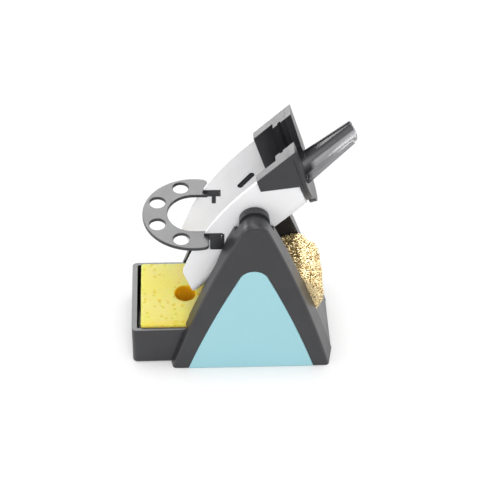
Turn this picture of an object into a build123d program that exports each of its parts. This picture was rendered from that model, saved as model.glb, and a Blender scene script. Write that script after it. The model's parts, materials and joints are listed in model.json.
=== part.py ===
from build123d import *
import math
import os

os.makedirs("parts", exist_ok=True)

# A bench rest for a soldering iron, in millimetres. X runs from the sponge (left) to the brass wool
# (right), Y runs from the front cover to the rear cover, Z is up, and the origin is the middle of the
# rubber mat's underside.

# Clearances
fit_gap = 0.1  # between pieces of one assembly that are fitted together
run_gap = 0.3  # between pieces that move past each other
bore_gap = 0.05  # radial play of a pin in its bush and of a screw in its hole

# Covers: two hollow A-shaped shells whose feet spread towards the middle
pivot_height = 112.0
frame_half_width = 49.5
apex_radius = 8.5
apex_rise = 1.7  # from the pivot up to the middle of the apex arc
side_radius = 800.0
cover_depth = 15.1  # from the edge of the rim to the outer face
rim_spread = 3.2  # how much wider the rim's foot is than the outer face's
cover_wall = 2.4
cover_edge_radius = 2.5
cover_lift = 0.3  # the covers' lower edges above the table
apex_relief_thickness = 4.6
apex_relief_gap = 0.6
apex_relief_drop = 3.0  # how far the relief reaches down past the pivot's height
guide_rail_depth = 3.3
guide_rail_height = 3.0
guide_rail_rise = 9.0
open_half_width = 27.5  # the rims stop this far from the middle plane above the sponge
open_top = 80.0
open_end = 100.0  # where the rims are whole again

# Coloured panels let into the covers
panel_half_width = 39.7
panel_apex_radius = 9.0
panel_apex_centre = 76.7
panel_side_radius = 700.0
panel_recess = 1.2
panel_thickness = 1.5

# Base: rubber mat, steel plate, ballast
mat_thickness = 1.0
mat_length = 80.0
mat_width = 56.0
mat_corner = 6.0
mat_hole_radius = 4.6
deck_thickness = 2.0
deck_inset = 1.3
deck_corner = 3.0
ballast_length = 33.0
ballast_width = 25.0
ballast_height = 14.0
ballast_middle = 15.5
ballast_corner = 3.0

# Chassis: two cheeks joined by a hollow core that holds the wool
cheek_wall = 2.5
core_wall = 2.2
core_left = 11.5  # from the middle of the frame to the core's wall beside the sponge
core_shoulder = 33.0
core_ridge_drop = 34.0  # below the pivot
core_ridge_half = 1.6
wool_sill = 36.0
wool_depth = 21.0  # square to the right-hand slope
hub_radius = 9.0
hub_reach = 12.1  # from the pivot to the hub's upper and lower ends
boss_radius = 6.0
boss_length = 6.6
post_radius = 4.0
post_height = 11.0
post_left = 5.5
post_right = 38.0

# Pivot hardware, the same on both sides
pin_radius = 3.0
pin_tail = 0.45  # how far the pin stands out of its nut
pin_head_length = 14.4
pin_head_width = 3.4
pin_head_shift = (-3.2, 1.2)  # the head lies off the pivot, so that it keys the pin
pin_head_turn = 6.0
pin_head_depth = 1.2
bush_wall = 1.5
washer_radius = 8.0
washer_thickness = 0.6
spring_washer_radius = 5.4
spring_washer_thickness = 1.0
nut_radius = 5.4
nut_thickness = 2.6

# Screws
screw_radius = 1.5
screw_head_radius = 3.0
screw_head_depth = 1.5
screw_boss_radius = 3.6
cover_screw_length = 9.0
base_screw_length = 9.0
cover_screw_spots = [(31.0, 9.0), (-3.0, 24.0), (0.0, 89.0)]
cradle_screw_length = 3.4
cradle_screw_half_pitch = 8.0
cradle_screw_place = 24.0

# Sponge tray and sponge
tray_reach = 75.0  # from the middle of the frame to the tray's outer end
tray_inner_end = 14.0
tray_rim = 29.4
tray_wall = 2.2
tray_end_wall = 3.3
tray_floor = 2.2
tray_corner = 3.0
tray_lift = 0.5
tray_skirt_gap = 1.2  # from the base plate's end to the tray's deeper part
tray_skirt_edge = 0.5
tray_foot_radius = 4.0
tray_foot_height = 1.2
tray_foot_inset = 9.0
sponge_gap = 0.5
sponge_end_gap = 2.4  # a finger's edge, to lift the sponge out
sponge_top = 31.4
sponge_corner = 1.5
sponge_edge = 1.0
sponge_hole_radius = 6.7
sponge_hole_reach = 41.0
bay_gap = 1.5  # between the sponge's top and the opening that it slides out of

# Brass wool
wool_gap = 0.4
wool_rise = 28.5  # along the slope, from the sill to the wool's top
wool_back_rise = 26.0
wool_swell = 0.4  # out of the slope at the top
wool_bulge = 6.4  # out of the slope at mid-height
wool_edge = 4.0

# Holder: a tilting trough, set out along its own axis (u) and square to it (n) from the pivot
holder_tilt = 46.0  # degrees above horizontal
trough_half_width = 20.2
trough_wall = 2.0
trough_bottom = -15.4
trough_bend = 4.0  # where the underside starts to fall towards the nose
trough_corner = 7.0
nose_low = -69.3
nose_bottom = -18.4
nose_high = -59.4
nose_lip = 1.8
nose_corner = 3.5
rim_middle = (-26.0, 14.6)
rim_end = (20.1, 20.1)

# Cradle, hand guard and the open spout that takes the front of the iron's handle
cradle_start = 24.0
cradle_end = 49.3
cradle_top = 22.2
cradle_slant = 28.0  # degrees, the cradle's ends lean this much from square
cradle_wall = 1.6
wing_wall = 1.6
wing_low = 1.2
wing_high = 15.0
block_setback = 15.5
block_bottom = 5.0
block_groove_depth = 1.2
block_groove_width = 2.4
throat_half = 12.4
guard_thickness = 4.2
guard_straight = 25.0
guard_waist_drop = 47.0
guard_waist_half = 8.5
guard_side_drop = 38.0
guard_side_half = 17.0
guard_length = 54.5
guard_groove_place = 1.6
guard_groove_width = 0.9
guard_groove_depth = 0.5
guard_groove_start = 2.0
spout_level = -4.8  # the lips' upper faces
spout_half_width = 7.2
spout_depth = 3.6
spout_wall = 1.4
spout_root_half = 14.0
spout_tip_half = 9.2
spout_lip_thickness = 1.8
spout_bead_width = 0.9
spout_bead_height = 0.6
spout_end = 75.7

# Tip tray and its two sockets in the trough's side walls; heights run from the tray's upper face
tip_tray_drop = 10.9  # from the pivot down to the tray's upper face
tip_tray_thickness = 2.0
tip_tray_middle = 35.4
tip_ring_radius = 30.9
tip_gap_radius = 15.9
tip_hole_radius = 4.9
tip_hole_circle = 23.9
tip_hole_pitch = 47.6
tip_prong_end = 26.6
tip_prong_corner = 3.0
tongue_end = 19.2
tip_tray_edge_radius = 0.4
socket_plate_left = 25.9
socket_plate_right = 17.4
socket_plate_below = 11.6
socket_plate_above = 1.1
socket_plate_depth = 1.0
socket_plate_corner = 1.5
socket_bar_left = 29.5
socket_bar_right = 18.5
socket_bar_below = 3.4
socket_bar_above = 1.8
nub_left = 23.8
nub_right = 21.4
nub_below = 9.2

# Sizes that follow
cover_rim = trough_half_width + washer_thickness + 2 * bore_gap
cover_face = cover_rim + cover_depth
cover_inner_face = cover_face - cover_wall
cheek_face = cover_rim  # the cheeks' inner faces lie in the plane of the rims
apex_centre = pivot_height + apex_rise
deck_top = mat_thickness + deck_thickness
deck_half_length = frame_half_width - cover_wall - deck_inset
core_ridge_height = pivot_height - core_ridge_drop
tray_skirt_end = deck_half_length + tray_skirt_gap
tray_half_width = cover_inner_face - guide_rail_depth - run_gap
tray_underside = deck_top + run_gap
bay_top = sponge_top + bay_gap
bush_radius = pin_radius + bush_wall
pin_start = trough_half_width - trough_wall
pin_shoulder = pin_start + pin_head_depth
tongue_inner = trough_half_width - trough_wall + fit_gap
tip_tray_top = pivot_height - tip_tray_drop
socket_plate_bottom = tip_tray_top - socket_plate_below
socket_plate_top = tip_tray_top + socket_plate_above
socket_bar_bottom = tip_tray_top - socket_bar_below
socket_bar_top = tip_tray_top + socket_bar_above
nub_bottom = tip_tray_top - nub_below
from_base = (Align.CENTER, Align.CENTER, Align.MIN)


# Spread of the cover's foot at a distance from the middle plane
def spread_at(distance):
    return rim_spread * (cover_face - distance) / (cover_face - cover_rim)


# A vertical plane in front of the middle plane, whose normal points to the front
def front_plane(distance):
    return Plane.XZ.offset(distance)


# Middle of the arc that runs from a gable's foot corner and meets its apex arc smoothly
def side_middle(half_width, foot, centre, top_radius, bow_radius):
    inner = bow_radius - top_radius
    span = math.hypot(half_width, foot - centre)
    along = (inner**2 - bow_radius**2 + span**2) / (2 * span)
    across = math.sqrt(inner**2 - along**2)
    unit = (half_width / span, (foot - centre) / span)
    return along * unit[0] + across * unit[1], centre + along * unit[1] - across * unit[0]


# A gable outline: foot line, two gently bowed sides and an apex arc. The sides run from foot corners
# at height foot, grow spreads the outline evenly and bottom moves the foot line.
def gable(half_width, foot, centre, top_radius, bow_radius, grow, bottom):
    bow_x, bow_z = side_middle(half_width, foot, centre, top_radius, bow_radius)
    side = bow_radius + grow
    foot_x = bow_x + math.sqrt(side**2 - (bottom - bow_z) ** 2)
    meet = math.atan2(centre - bow_z, -bow_x)
    start = math.atan2(bottom - bow_z, foot_x - bow_x)
    half = (meet + start) / 2
    meet_x, meet_z = bow_x + side * math.cos(meet), bow_z + side * math.sin(meet)
    half_x, half_z = bow_x + side * math.cos(half), bow_z + side * math.sin(half)
    with BuildLine() as outline:
        Line((-foot_x, bottom), (foot_x, bottom))
        ThreePointArc((foot_x, bottom), (half_x, half_z), (meet_x, meet_z))
        ThreePointArc((meet_x, meet_z), (0, centre + top_radius + grow), (-meet_x, meet_z))
        ThreePointArc((-meet_x, meet_z), (-half_x, half_z), (-foot_x, bottom))
    make_face(outline.edges())


# The covers' outline: spread widens its foot, grow moves the whole outline
def frame_gable(spread, grow, bottom):
    gable(frame_half_width + spread, 0.0, apex_centre, apex_radius, side_radius, grow, bottom)


def panel_gable(grow, bottom):
    gable(panel_half_width, 0.0, panel_apex_centre, panel_apex_radius, panel_side_radius, grow, bottom)


# The upright rounded hub round the pivot
def hub_outline(grow):
    with Locations((0, pivot_height)):
        SlotOverall(2 * (hub_reach + grow), 2 * (hub_radius + grow), rotation=90)


# The same piece on the other side of the middle plane
def rear_of(piece):
    with BuildPart() as rear:
        mirror(piece.part, about=Plane.XZ)
    return rear


def finish_piece(piece, name):
    piece.part.label = name
    export_step(piece.part, "parts/" + name + ".step")


# A countersunk screw along a plane's normal, its head flush with the plane
def screw_at(plane, spot, length):
    with Locations(plane.location * Location((spot[0], spot[1], 0))):
        Cone(screw_head_radius, screw_radius, screw_head_depth, align=from_base)
        Cylinder(screw_radius, length, align=from_base)


# The countersunk hole that the screw drops into
def screw_hole_at(plane, spot, length):
    with Locations(plane.location * Location((spot[0], spot[1], 0))):
        Cone(screw_head_radius + bore_gap, screw_radius + bore_gap, screw_head_depth + bore_gap,
             align=from_base, mode=Mode.SUBTRACT)
        Cylinder(screw_radius + bore_gap, length + run_gap, align=from_base, mode=Mode.SUBTRACT)


# Covers
with BuildPart() as front_cover:
    with BuildSketch(front_plane(cover_face)):
        frame_gable(0.0, 0.0, cover_lift)
    with BuildSketch(front_plane(cover_rim)):
        frame_gable(rim_spread, 0.0, cover_lift)
    loft(ruled=True)
    face_edges = faces().sort_by(Axis.Y)[0].edges().sort_by(Axis.Z)[1:]
    fillet(face_edges, radius=cover_edge_radius)
    with BuildSketch(front_plane(cover_inner_face)):
        frame_gable(spread_at(cover_inner_face), -cover_wall, cover_lift - cover_wall)
    with BuildSketch(front_plane(cover_rim - cover_wall)):
        frame_gable(spread_at(cover_rim - cover_wall), -cover_wall, cover_lift - cover_wall)
    loft(ruled=True, mode=Mode.SUBTRACT)
    with BuildSketch(front_plane(cover_face)):
        panel_gable(fit_gap, cover_lift - cover_wall)
    extrude(amount=-panel_recess, mode=Mode.SUBTRACT)
    # Posts that the screws from the chassis bite into
    with BuildSketch(front_plane(cover_face - panel_recess - fit_gap)):
        with Locations(*cover_screw_spots):
            Circle(screw_boss_radius)
    extrude(amount=-(cover_face - panel_recess - fit_gap - cheek_face - cheek_wall - fit_gap))
    with BuildSketch(front_plane(cheek_face)):
        with Locations(*cover_screw_spots):
            Circle(screw_radius + bore_gap)
    extrude(amount=cover_screw_length + run_gap, mode=Mode.SUBTRACT)
    # Opening on the sponge side: as deep as the tray below, then drawing in to the edge of the rim
    with BuildSketch(Plane.YZ.offset(-tray_inner_end + run_gap)):
        with BuildLine():
            Polyline(
                (-cover_rim + cover_wall, -cover_wall),
                (-tray_half_width - run_gap, -cover_wall),
                (-tray_half_width - run_gap, bay_top),
                (-open_half_width, bay_top),
                (-open_half_width, open_top),
                (-cover_rim, open_end),
                (-cover_rim + cover_wall, open_end),
                close=True,
            )
        make_face()
    extrude(amount=-tray_reach, mode=Mode.SUBTRACT)
    # Rail beside the tray
    with BuildSketch(front_plane(cover_inner_face + fit_gap)):
        with Locations((-tray_inner_end, guide_rail_rise)):
            Rectangle(frame_half_width - tray_inner_end - cover_wall - guide_rail_height,
                      guide_rail_height, align=(Align.MAX, Align.MIN))
    extrude(amount=-(cover_inner_face + fit_gap - tray_half_width - run_gap))
    # Relief round the chassis hub at the apex
    with BuildSketch(front_plane(cover_rim - cover_wall)):
        hub_outline(apex_relief_gap)
        with Locations((0, pivot_height - apex_relief_drop)):
            Rectangle(4 * hub_radius, 4 * hub_radius, align=(Align.CENTER, Align.MIN))
    extrude(amount=apex_relief_thickness + cover_wall, mode=Mode.SUBTRACT)
rear_cover = rear_of(front_cover)

with BuildPart() as front_panel:
    with BuildSketch(front_plane(cover_face - panel_recess)):
        panel_gable(0.0, cover_lift)
    extrude(amount=panel_thickness)
    fillet(faces().sort_by(Axis.Y)[0].edges(), radius=panel_thickness - panel_recess)
rear_panel = rear_of(front_panel)

# Chassis
rim_bow_x, rim_bow_z = side_middle(
    frame_half_width + rim_spread, 0.0, apex_centre, apex_radius, side_radius
)


# A point of the right-hand slope of the rims at a height
def slope_point(height):
    return rim_bow_x + math.sqrt(side_radius**2 - (height - rim_bow_z) ** 2), height


sill_x, sill_z = slope_point(wool_sill)
ridge_x, ridge_z = slope_point(core_ridge_height)
slope = math.atan2(sill_x - ridge_x, ridge_z - sill_z)
into_pocket = (-math.cos(slope), -math.sin(slope))
up_slope = (-math.sin(slope), math.cos(slope))
pocket_low = (sill_x + wool_depth * into_pocket[0], sill_z + wool_depth * into_pocket[1])
pocket_rise = (core_ridge_height - pocket_low[1]) / up_slope[1]
pocket_high = (pocket_low[0] + pocket_rise * up_slope[0], core_ridge_height)
core_beyond = (sill_x - wool_depth * into_pocket[0], sill_z - wool_depth * into_pocket[1])


# Section of the core, cut off at a height below
def core_section(bottom):
    frame_gable(rim_spread, 0.0, bottom)
    with BuildLine() as outline:
        Polyline(
            (-core_left, bottom),
            (-core_left, core_shoulder),
            (pocket_high[0] - 2 * core_ridge_half, core_ridge_height),
            pocket_high,
            pocket_low,
            core_beyond,
            (core_beyond[0], bottom),
            close=True,
        )
    make_face(outline.edges(), mode=Mode.INTERSECT)


post_spots = [
    (place, side * (cheek_face - post_radius + fit_gap))
    for place in (-post_left, post_right)
    for side in (-1, 1)
]
cheek_spread = spread_at(cheek_face + cheek_wall)
with BuildPart() as chassis:
    with BuildSketch(front_plane(cheek_face)):
        frame_gable(cheek_spread, -cover_wall - fit_gap, deck_top)
        with Locations((-core_left, 0)):
            Rectangle(tray_reach, bay_top, align=(Align.MAX, Align.MIN), mode=Mode.SUBTRACT)
    extrude(amount=cheek_wall)
    # Flange that closes the cover's hollow beside the opening over the sponge
    with BuildSketch(front_plane(cheek_face)):
        frame_gable(spread_at(open_half_width), -cover_wall - fit_gap, deck_top)
        offset(amount=-cheek_wall, mode=Mode.SUBTRACT)
        with Locations((-tray_inner_end, bay_top)):
            Rectangle(tray_reach, open_end - bay_top, align=(Align.MAX, Align.MIN), mode=Mode.INTERSECT)
    extrude(amount=open_half_width - fit_gap - cheek_face)
    with BuildSketch(front_plane(cheek_face)):
        hub_outline(0.0)
    extrude(amount=apex_relief_thickness - fit_gap)
    with BuildSketch(front_plane(cheek_face)):
        with Locations((0, pivot_height)):
            Circle(boss_radius)
    extrude(amount=boss_length)
    for spot in cover_screw_spots:
        screw_hole_at(front_plane(cheek_face), spot, cover_screw_length)
    with BuildSketch(front_plane(cheek_face)):
        with Locations((0, pivot_height)):
            Circle(bush_radius + bore_gap)
    extrude(amount=boss_length, mode=Mode.SUBTRACT)
    mirror(about=Plane.XZ)
    with BuildSketch(Plane.XZ):
        core_section(deck_top)
    extrude(amount=cheek_face, both=True)
    with BuildSketch(Plane.XZ):
        core_section(deck_top - 2 * core_wall)
        offset(amount=-core_wall, kind=Kind.INTERSECTION, mode=Mode.REPLACE)
    extrude(amount=cheek_face, both=True, mode=Mode.SUBTRACT)
    with BuildSketch(Plane.XY.offset(deck_top)):
        with Locations(*post_spots):
            Circle(post_radius)
    extrude(amount=post_height)
    with BuildSketch(Plane.XY.offset(mat_thickness)):
        with Locations(*post_spots):
            Circle(screw_radius + bore_gap)
    extrude(amount=base_screw_length + run_gap, mode=Mode.SUBTRACT)

with BuildPart() as cover_screws:
    for spot in cover_screw_spots:
        screw_at(front_plane(cheek_face), spot, cover_screw_length)
    mirror(about=Plane.XZ)

# Base
with BuildPart() as base_plate:
    with BuildSketch(Plane.XY.offset(mat_thickness)):
        RectangleRounded(2 * deck_half_length, 2 * (cover_inner_face - fit_gap), deck_corner)
    extrude(amount=deck_thickness)
    for spot in post_spots:
        screw_hole_at(Plane.XY.offset(mat_thickness), spot, base_screw_length)

with BuildPart() as base_screws:
    for spot in post_spots:
        screw_at(Plane.XY.offset(mat_thickness), spot, base_screw_length)

with BuildPart() as base_mat:
    with BuildSketch():
        RectangleRounded(mat_length, mat_width, mat_corner)
        with Locations(*post_spots):
            Circle(mat_hole_radius, mode=Mode.SUBTRACT)
    extrude(amount=mat_thickness)

with BuildPart() as ballast_weight:
    with BuildSketch(Plane.XY.offset(deck_top)):
        with Locations((ballast_middle, 0)):
            RectangleRounded(ballast_length, ballast_width, ballast_corner)
    extrude(amount=ballast_height)

# Brass wool: a pad that swells out of the pocket
wool_base = (
    pocket_low[0] - wool_gap * into_pocket[0] + wool_gap * up_slope[0],
    pocket_low[1] - wool_gap * into_pocket[1] + wool_gap * up_slope[1],
)
wool_thickness = wool_depth - wool_gap


# A point of the wool's side view, from its inner lower corner: up along the slope and out of it
def wool_point(up, out):
    return (
        wool_base[0] + up * up_slope[0] - out * into_pocket[0],
        wool_base[1] + up * up_slope[1] - out * into_pocket[1],
    )


with BuildPart() as brass_wool:
    with BuildSketch(Plane.XZ):
        with BuildLine():
            Polyline(
                wool_point(0, wool_thickness),
                wool_point(0, 0),
                wool_point(wool_back_rise, 0),
                wool_point(wool_rise, wool_thickness + wool_swell),
            )
            ThreePointArc(
                wool_point(wool_rise, wool_thickness + wool_swell),
                wool_point(wool_rise / 2, wool_thickness + wool_bulge),
                wool_point(0, wool_thickness),
            )
        make_face()
    extrude(amount=cheek_face - wool_gap, both=True)
    fillet(edges().filter_by(GeomType.CIRCLE), radius=wool_edge)

# Sponge tray
tray_length = tray_reach - tray_inner_end
tray_foot_spots = [
    (-tray_reach + tray_foot_inset, side * (tray_half_width - tray_foot_inset)) for side in (-1, 1)
]
with BuildPart() as sponge_tray:
    with BuildSketch(Plane.XY.offset(tray_underside)):
        with Locations((-tray_reach, 0)):
            Rectangle(tray_length, 2 * tray_half_width, align=(Align.MIN, Align.CENTER))
        fillet(vertices(), radius=tray_corner)
    extrude(amount=tray_rim - tray_underside)
    with BuildSketch(Plane.XY.offset(tray_lift)):
        with Locations((-tray_reach, 0)):
            Rectangle(tray_reach - tray_skirt_end, 2 * tray_half_width, align=(Align.MIN, Align.CENTER))
        fillet(vertices().sort_by(Axis.X)[:2], radius=tray_corner)
    extrude(amount=tray_underside - tray_lift)
    fillet(faces().sort_by(Axis.Z)[0].edges().sort_by(Axis.X)[:-1], radius=tray_skirt_edge)
    with BuildSketch(Plane.XY.offset(tray_underside + tray_floor)):
        with Locations((-tray_reach + tray_end_wall, 0)):
            Rectangle(tray_length - tray_end_wall - tray_wall, 2 * (tray_half_width - tray_wall),
                      align=(Align.MIN, Align.CENTER))
        fillet(vertices(), radius=tray_corner - tray_wall)
    extrude(amount=tray_rim, mode=Mode.SUBTRACT)
    # Seats of the feet
    with BuildSketch():
        with Locations(*tray_foot_spots):
            Circle(tray_foot_radius + fit_gap)
    extrude(amount=tray_foot_height, mode=Mode.SUBTRACT)

with BuildPart() as tray_feet:
    with BuildSketch():
        with Locations(*tray_foot_spots):
            Circle(tray_foot_radius)
    extrude(amount=tray_foot_height)

with BuildPart() as sponge:
    with BuildSketch(Plane.XY.offset(tray_underside + tray_floor)):
        with Locations((-tray_reach + tray_end_wall + sponge_end_gap, 0)):
            Rectangle(tray_length - tray_end_wall - tray_wall - sponge_end_gap - sponge_gap,
                      2 * (tray_half_width - tray_wall - sponge_gap), align=(Align.MIN, Align.CENTER))
        fillet(vertices(), radius=sponge_corner)
    extrude(amount=sponge_top - tray_underside - tray_floor)
    fillet(faces().sort_by(Axis.Z)[-1].edges(), radius=sponge_edge)
    with BuildSketch(Plane.XY.offset(tray_underside)):
        with Locations((-sponge_hole_reach, 0)):
            Circle(sponge_hole_radius)
    extrude(amount=tray_rim, mode=Mode.SUBTRACT)

# Holder frame: along is the trough's axis, rise is square to it
tilt = math.radians(holder_tilt)
slant = math.radians(cradle_slant)
along = Vector(math.cos(tilt), 0, math.sin(tilt))
rise = Vector(-math.sin(tilt), 0, math.cos(tilt))
pivot = Vector(0, 0, pivot_height)
holder_side = Plane(origin=pivot, x_dir=along, z_dir=(0, -1, 0))
holder_section = Plane(origin=pivot, x_dir=(0, 1, 0), z_dir=along)


# The leaning ends of the cradle, as distances along the axis at a height above it
def lean(at_top, height):
    return at_top + (height - cradle_top) * math.tan(slant)


# A channel section, open at the top, its lower corners rounded
def channel_section(half, bottom, top, corner):
    with Locations((0, bottom)):
        Rectangle(2 * half, top - bottom, align=(Align.CENTER, Align.MIN))
    fillet(vertices().group_by(Axis.Y)[0], radius=corner)


# The trough's underside seen from below, for the screws that hold the cradle
trough_underside = Plane(origin=pivot + rise * trough_bottom, x_dir=along, z_dir=rise)
cradle_screw_spots = [
    (cradle_screw_place, -cradle_screw_half_pitch),
    (cradle_screw_place, cradle_screw_half_pitch),
]
channel_top = 2 * cradle_top
channel_length = spout_end - nose_low
with BuildPart() as holder_trough:
    with BuildSketch(holder_section.offset(nose_low)):
        channel_section(trough_half_width, nose_bottom, channel_top, trough_corner)
    with BuildSketch(holder_section.offset(trough_bend)):
        channel_section(trough_half_width, trough_bottom, channel_top, trough_corner)
    loft(ruled=True)
    with BuildSketch(holder_section.offset(trough_bend)):
        channel_section(trough_half_width, trough_bottom, channel_top, trough_corner)
    extrude(amount=channel_length)
    with BuildSketch(holder_section.offset(nose_low)):
        channel_section(trough_half_width - trough_wall, nose_bottom + trough_wall,
                        channel_top, trough_corner - trough_wall)
    with BuildSketch(holder_section.offset(trough_bend)):
        channel_section(trough_half_width - trough_wall, trough_bottom + trough_wall,
                        channel_top, trough_corner - trough_wall)
    loft(ruled=True, mode=Mode.SUBTRACT)
    with BuildSketch(holder_section.offset(trough_bend)):
        channel_section(trough_half_width - trough_wall, trough_bottom + trough_wall,
                        channel_top, trough_corner - trough_wall)
    extrude(amount=channel_length, mode=Mode.SUBTRACT)
    with BuildSketch(holder_side):
        with BuildLine():
            ThreePointArc((nose_high, nose_lip), rim_middle, rim_end)
            Polyline(
                rim_end,
                (lean(cradle_end, rim_end[1]) - fit_gap, rim_end[1]),
                (lean(cradle_end, trough_bottom) - fit_gap, trough_bottom),
                (trough_bend, trough_bottom),
                (nose_low, nose_bottom),
                (nose_high, nose_lip),
            )
        make_face()
        fillet(vertices().sort_by(Axis.X)[:2], radius=nose_corner)
    extrude(amount=trough_half_width + fit_gap, both=True, mode=Mode.INTERSECT)
    # Pivot bores, and the recesses that key the pins' heads to the walls
    for side in (1, -1):
        with BuildSketch(holder_side.offset(side * pin_shoulder)):
            Circle(pin_radius + bore_gap)
        extrude(amount=side * trough_wall, mode=Mode.SUBTRACT)
    with BuildSketch(holder_side):
        with Locations(pin_head_shift):
            SlotOverall(pin_head_length + 2 * bore_gap, pin_head_width + 2 * bore_gap, pin_head_turn)
    extrude(amount=pin_shoulder, both=True, mode=Mode.SUBTRACT)
    # Seats of the tip tray's sockets
    with BuildSketch(Plane.XZ):
        with BuildLine():
            Polyline(
                (-socket_bar_right + fit_gap, socket_bar_bottom - fit_gap),
                (-socket_bar_right + fit_gap, socket_bar_top + fit_gap),
                (-tip_tray_middle, socket_bar_top + fit_gap),
                (-tip_tray_middle, socket_bar_bottom - fit_gap),
                close=True,
            )
        make_face()
        with BuildLine():
            Polyline(
                (-nub_left - fit_gap, nub_bottom - fit_gap),
                (-nub_right + fit_gap, nub_bottom - fit_gap),
                (-nub_right + fit_gap, socket_bar_bottom),
                (-nub_left - fit_gap, socket_bar_bottom),
                close=True,
            )
        make_face()
    extrude(amount=trough_half_width, both=True, mode=Mode.SUBTRACT)
    for side in (1, -1):
        with BuildSketch(front_plane(side * trough_half_width)):
            with Locations((-socket_plate_right + fit_gap, socket_plate_bottom - fit_gap)):
                Rectangle(socket_plate_left - socket_plate_right + 2 * fit_gap,
                          socket_plate_top - socket_plate_bottom + 2 * fit_gap,
                          align=(Align.MAX, Align.MIN))
        extrude(amount=-side * (socket_plate_depth + fit_gap), mode=Mode.SUBTRACT)
    for spot in cradle_screw_spots:
        screw_hole_at(trough_underside, spot, cradle_screw_length)

# Cradle: a liner in the trough's upper end with a saddle over each wall
liner_half = trough_half_width - trough_wall - fit_gap
liner_bottom = trough_bottom + trough_wall + fit_gap
liner_corner = trough_corner - trough_wall - fit_gap
liner_inner = liner_half - cradle_wall
wing_inner = trough_half_width + fit_gap
wing_outer = wing_inner + wing_wall
groove_start = (cradle_start + block_setback + cradle_end - block_groove_width) / 2
with BuildPart() as cradle:
    with BuildSketch(holder_section.offset(nose_low)):
        channel_section(liner_half, liner_bottom, cradle_top, liner_corner)
        with Locations((0, rim_end[1] + fit_gap)):
            Rectangle(2 * wing_outer, cradle_top - rim_end[1] - fit_gap, align=(Align.CENTER, Align.MIN))
    extrude(amount=channel_length)
    with BuildSketch(holder_section.offset(nose_low)):
        channel_section(liner_inner, liner_bottom + cradle_wall, channel_top, liner_corner - cradle_wall)
    extrude(amount=channel_length, mode=Mode.SUBTRACT)
    with BuildSketch(holder_side):
        with BuildLine():
            Polyline(
                (cradle_start, cradle_top),
                (cradle_end, cradle_top),
                (lean(cradle_end, liner_bottom), liner_bottom),
                (lean(cradle_start, liner_bottom), liner_bottom),
                close=True,
            )
        make_face()
    extrude(amount=wing_outer, both=True, mode=Mode.INTERSECT)
    for side in (1, -1):
        with BuildSketch(holder_side.offset(side * wing_inner)):
            with BuildLine():
                Polyline(
                    (cradle_start, cradle_top),
                    (cradle_end, cradle_top),
                    (lean(cradle_end, wing_low), wing_low),
                    (lean(cradle_start, wing_high), wing_high),
                    close=True,
                )
            make_face()
        extrude(amount=side * wing_wall)
        with BuildSketch(holder_side.offset(side * throat_half)):
            with BuildLine():
                Polyline(
                    (cradle_start + block_setback, cradle_top),
                    (cradle_end, cradle_top),
                    (lean(cradle_end, block_bottom), block_bottom),
                    (lean(cradle_start + block_setback, block_bottom), block_bottom),
                    close=True,
                )
            make_face()
        extrude(amount=side * (liner_half - throat_half))
        # Upright groove in the block's face
        with BuildSketch(holder_side.offset(side * throat_half)):
            with BuildLine():
                Polyline(
                    (groove_start, cradle_top),
                    (groove_start + block_groove_width, cradle_top),
                    (lean(groove_start + block_groove_width, block_bottom), block_bottom),
                    (lean(groove_start, block_bottom), block_bottom),
                    close=True,
                )
            make_face()
        extrude(amount=side * block_groove_depth, mode=Mode.SUBTRACT)
    for spot in cradle_screw_spots:
        with Locations(trough_underside.location * Location((spot[0], spot[1], 0))):
            Cylinder(screw_radius + bore_gap, cradle_screw_length + run_gap, align=from_base,
                     mode=Mode.SUBTRACT)

with BuildPart() as cradle_screws:
    for spot in cradle_screw_spots:
        screw_at(trough_underside, spot, cradle_screw_length)

# Hand guard with its spout
guard_normal = along * math.cos(slant) - rise * math.sin(slant)
guard_plane = Plane(
    origin=pivot + along * cradle_end + rise * cradle_top, x_dir=(0, 1, 0), z_dir=guard_normal
)
holder_top = Plane(origin=pivot + rise * cradle_top, x_dir=along, z_dir=rise)
spout_top = Plane(origin=pivot + rise * spout_level, x_dir=along, z_dir=rise)
guard_peak = guard_thickness * math.tan(slant)
spout_radius = (spout_half_width**2 + spout_depth**2) / (2 * spout_depth)
spout_outer = spout_radius + spout_wall
spout_middle = spout_level - spout_depth + spout_radius
spout_root = lean(cradle_end, spout_level)


# The guard's outline: two straight uprights, then sides that draw in to a rounded tip
def guard_outline():
    with BuildLine() as outline:
        Polyline(
            (-wing_outer, -guard_straight),
            (-wing_outer, guard_peak),
            (wing_outer, guard_peak),
            (wing_outer, -guard_straight),
        )
        ThreePointArc(
            (wing_outer, -guard_straight),
            (guard_side_half, -guard_side_drop),
            (guard_waist_half, -guard_waist_drop),
        )
        ThreePointArc(
            (guard_waist_half, -guard_waist_drop),
            (0, -guard_length),
            (-guard_waist_half, -guard_waist_drop),
        )
        ThreePointArc(
            (-guard_waist_half, -guard_waist_drop),
            (-guard_side_half, -guard_side_drop),
            (-wing_outer, -guard_straight),
        )
    make_face(outline.edges())


# The spout's lips seen from above, their outer edges drawing in towards the tip
def lip_outline(inset, mode=Mode.ADD):
    with BuildLine() as outline:
        Polyline(
            (spout_root, -spout_root_half + inset),
            (spout_end, -spout_tip_half + inset),
            (spout_end, spout_tip_half - inset),
            (spout_root, spout_root_half - inset),
            close=True,
        )
    make_face(outline.edges(), mode=mode)


with BuildPart() as guard_plate:
    with BuildSketch(guard_plane):
        guard_outline()
    extrude(amount=guard_thickness)
    # Groove along the plate's sides, down to the tip
    with BuildSketch(guard_plane.offset(guard_groove_place)):
        guard_outline()
        offset(amount=-guard_groove_depth, mode=Mode.SUBTRACT)
        with Locations((0, -guard_groove_start)):
            Rectangle(2 * wing_outer, guard_waist_drop - guard_groove_start,
                      align=(Align.CENTER, Align.MAX), mode=Mode.INTERSECT)
    extrude(amount=guard_groove_width, mode=Mode.SUBTRACT)
    # Top face level with the cradle's
    split(bisect_by=holder_top, keep=Keep.BOTTOM)

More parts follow.
